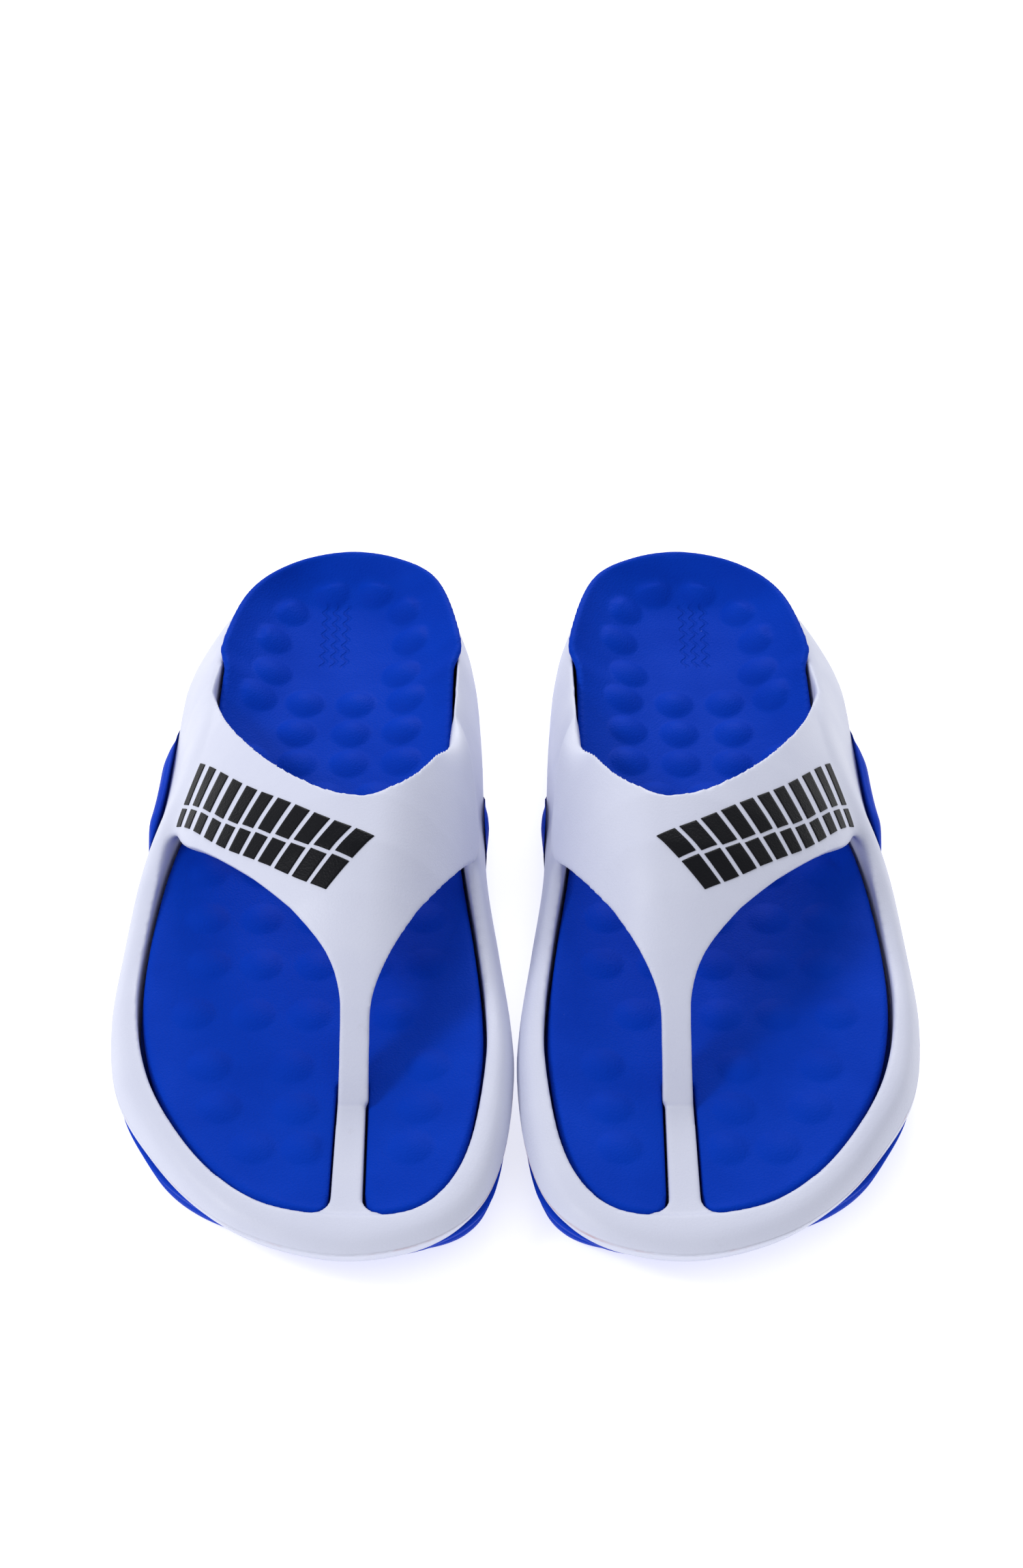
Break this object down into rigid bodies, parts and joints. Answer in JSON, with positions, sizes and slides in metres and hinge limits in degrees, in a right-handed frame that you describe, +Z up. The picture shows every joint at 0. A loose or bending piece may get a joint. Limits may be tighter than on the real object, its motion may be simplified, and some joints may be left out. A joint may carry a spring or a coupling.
{
  "type": "flip flop pair",
  "caption": "Pair of two-colour moulded foam flip flops: blue sole and bumpy footbed, white one-piece rim, wide Y strap and toe post with a black bar print.",
  "frame": {"origin": "on the floor, at the middle of the pair's box", "axes": "+Z up, toes along -Y, +X towards the left shoe, soles on z = 0"},
  "size_m": [0.2312, 0.29, 0.0705],
  "materials": {
    "outsole_foam": "matte blue moulded EVA foam",
    "footbed_foam": "satin-matte blue moulded EVA foam with a fine grain",
    "upper_foam": "satin-matte lavender-white moulded EVA foam",
    "print_film": "satin black screen-printed film"
  },
  "bodies": {
    "right_shoe": {"right_outsole": "outsole_foam", "right_footbed": "footbed_foam", "right_upper": "upper_foam", "right_strap_print": "print_film"},
    "left_shoe": {"left_outsole": "outsole_foam", "left_footbed": "footbed_foam", "left_upper": "upper_foam", "left_strap_print": "print_film"}
  },
  "joints": [
    {"name": "left_shoe_slide", "type": "slide", "parent": "right_shoe", "child": "left_shoe", "axis": [1, 0, 0], "range_m": [0, 0.15]}
  ]
}
